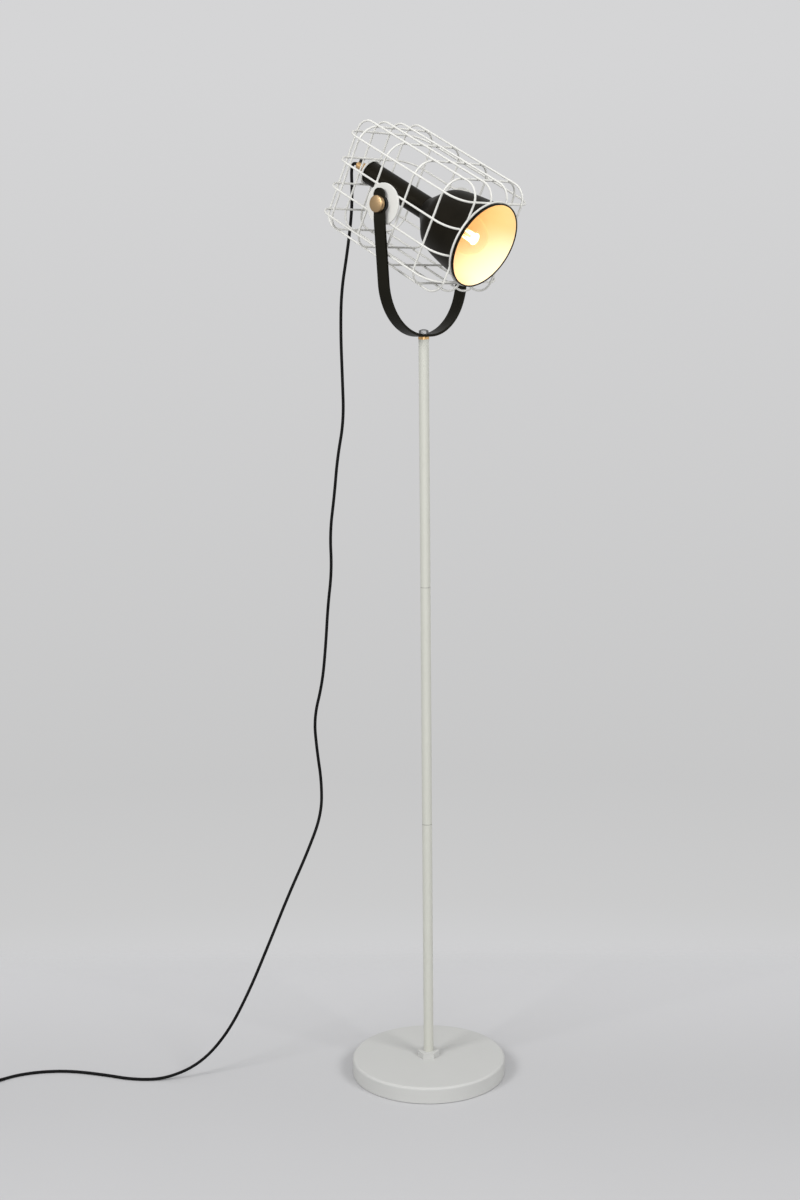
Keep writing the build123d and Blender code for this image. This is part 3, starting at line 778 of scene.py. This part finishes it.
# As (radius, how far ahead of the tilt axis), so what is behind the axis is negative.
dome_line = [
    (neck_radius, -0.1176), (0.0174, -0.1193), (0.0168, -0.1204), (0.0133, -0.1243), (0.0092, -0.1279),
    (0.0077, -0.1297),
]
dome_rings = [
    (neck_radius, neck_back),
    *smooth_line(dome_line, 2),
    (0.0070, dome_end),
    (grip_bore, dome_end),
    (grip_bore, neck_back),
]
dome = draw_out("neck_dome", dome_rings, (0, 0, 0), head_ahead, dome_around)
put_down(50)
tip_with_head(dome)
shade_black = paint(
    "shade_black", (0.0030, 0.0022, 0.0009, 1), (0.0054, 0.0043, 0.0022, 1),
    smoothest=0.38, specular=0.12, peel=0.2, sheen=(1, 0.90, 0.70, 1),
)
paint_on(dome, shade_black)
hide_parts("neck_cap")
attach(dome, "head")
dress(shade_black, "neck_tube")

grip_brass = bare_metal(
    "grip_brass", (0.50, 0.31, 0.14, 1), (0.64, 0.42, 0.21, 1), smoothest=0.28, scale=(0.2, 1, 1)
)
dress(grip_brass, "cord_grip", "socket_shell", "socket_contact")
dress(cord_rubber, "neck_wiring")


# ---- Shade ----
# A spun steel bell, black outside and white inside, with a rolled black rim that sits in the
# cage's mouth ring. The lamp is lit, and the bulb's light on the white inside is painted as a glow,
# orange deep in the bell and nearly white low at the right of the mouth, where most of that light falls.
def along_head(place):
    """Object coordinates turned into the head's own frame: x across, y back along its axis, z up."""
    return place.node(
        "ShaderNodeMapping",
        {"vector_type": "TEXTURE"},
        {"Vector": place, "Location": (0, 0, tilt_axis), "Rotation": (head_tip, 0, 0)},
    )


inside_white, inside_shader, inside_place, _ = blotchy(
    "shade_white", (0.66, 0.57, 0.40, 1), (0.70, 0.61, 0.44, 1), 20.0, 0.40, 0.15,
    Specular_IOR_Level=0.3, Emission_Strength=0.47,
)
in_bell = along_head(inside_place)
towards_mouth = (0 - in_bell.axis("Y")).ramp(0.05, 0.14)
lit_side = (in_bell.axis("X") * 0.75 - in_bell.axis("Z") * 0.65).ramp(0.024, 0.066)
# Painted light: the white inside glows by its own emission, which stands for the bulb's light on it.
painted_glow = towards_mouth.mix((1.0, 0.22, 0.012, 1), (0.98, 0.69, 0.20, 1))
(lit_side * towards_mouth).mix(painted_glow, (1.45, 1.32, 1.00, 1)).drives(inside_shader, "Emission Color")

shade_wall = 0.001
rim_radius = 0.0660
rim_ahead = 0.1350
rim_bead = 0.0011
bell_around = 128
bell_line = [
    (0.0186, 0.0120), (0.0224, 0.0169), (0.0345, 0.0309), (0.0429, 0.0400), (0.0469, 0.0447),
    (0.0533, 0.0620), (0.0558, 0.0741), (0.0622, 0.1169), (0.0634, 0.1230), (rim_radius, 0.1343),
]
bell = draw_out("shade_bell", smooth_line(bell_line, 3), (0, 0, 0), head_ahead, bell_around)
put_down(60)
bell.data.materials.append(shade_black)
bell.data.materials.append(inside_white)
modify(bell, "SOLIDIFY", thickness=shade_wall, offset=-1, material_offset=1, use_even_offset=True)
bpy.ops.object.shade_smooth_by_angle(angle=math.radians(50))
bpy.ops.object.select_all(action="DESELECT")
bpy.ops.mesh.primitive_torus_add(
    major_segments=bell_around,
    minor_segments=12,
    major_radius=rim_radius,
    minor_radius=rim_bead,
    location=(0, -rim_ahead, 0),
    rotation=(math.pi / 2, 0, 0),
)
rim = bpy.context.object
bpy.ops.object.transform_apply(location=True, rotation=True)
bpy.ops.object.shade_smooth()
rim.data.materials.append(shade_black)
bell.select_set(True)
bpy.context.view_layer.objects.active = bell
bpy.ops.object.join()
tip_with_head(bell)
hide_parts("shade")
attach(bell, "head")

# ---- Bulb ----
# A clear glass bulb on a plated screw cap, in a moulded holder. Four strips stand round its
# stem and are brightest at their tips, and a weak light at the bulb's middle stands for what
# they throw on the shade and the cage.
cap_metal = bare_metal("cap_metal", (0.52, 0.51, 0.49, 1), (0.66, 0.65, 0.63, 1), smoothest=0.24)
dress(cap_metal, "bulb_cap")

glass, glass_shader, glass_place, glass_haze_and_painted_glow = blotchy(
    "bulb_glass", (0.02, 0.02, 0.02, 1), (0.04, 0.04, 0.04, 1), 35.0, 0.04, 0.03,
    Specular_IOR_Level=0.6, Emission_Strength=1.0,
)
# A faint warm painted glow in the glass stands for the halo of light round the lit strips.
glass_haze_and_painted_glow.mix((1.0, 0.60, 0.18, 1), (1.0, 0.68, 0.26, 1)).drives(glass_shader, "Emission Color")
glass_rim = glass_place.node("ShaderNodeLayerWeight", {}, {"Blend": 0.35}, "Facing")
(0.05 + glass_rim * 0.10).drives(glass_shader, "Alpha")
dress(glass, "bulb_glass")

strip_inside, strip_outside = 0.0040, 0.0052
filament, filament_shader, filament_place, _ = blotchy(
    "filament", (0.5, 0.48, 0.44, 1), (0.62, 0.60, 0.55, 1), 1500.0, 0.25, 0.2, Emission_Strength=7.0
)
in_bulb = along_head(filament_place)
ahead = 0 - in_bulb.axis("Y")
off_axis = in_bulb.node("ShaderNodeMapping", {}, {"Vector": in_bulb, "Scale": (1, 0, 1)}).length()
on_strip = off_axis.ramp(strip_inside, strip_outside)
at_tip = ahead.ramp(0.1105, 0.1115)
past_stem = ahead.ramp(0.0785, 0.0800)
alight = on_strip.math("MAXIMUM", on_strip, at_tip) * past_stem
strip_glow = ahead.ramp(0.088, 0.113).mix((0.14, 0.075, 0.02, 1), (1.0, 0.80, 0.50, 1))
alight.mix((0.02, 0.012, 0.005, 1), strip_glow).drives(filament_shader, "Emission Color")
dress(filament, "bulb_filament")

bulb_middle = 0.0956
bulb_light = bpy.data.objects.new("bulb_light", bpy.data.lights.new("bulb_light", "POINT"))
bulb_light.data.energy = 0.022
bulb_light.data.color = (1.0, 0.66, 0.28)
bulb_light.data.shadow_soft_size = 0.015
bulb_light.location = (0, -bulb_middle * math.cos(head_tip), tilt_axis - bulb_middle * math.sin(head_tip))
bpy.context.scene.collection.objects.link(bulb_light)
bulb_light.parent = frame["bodies"]["head"]
bulb_light.matrix_parent_inverse = frame["bodies"]["head"].matrix_world.inverted()
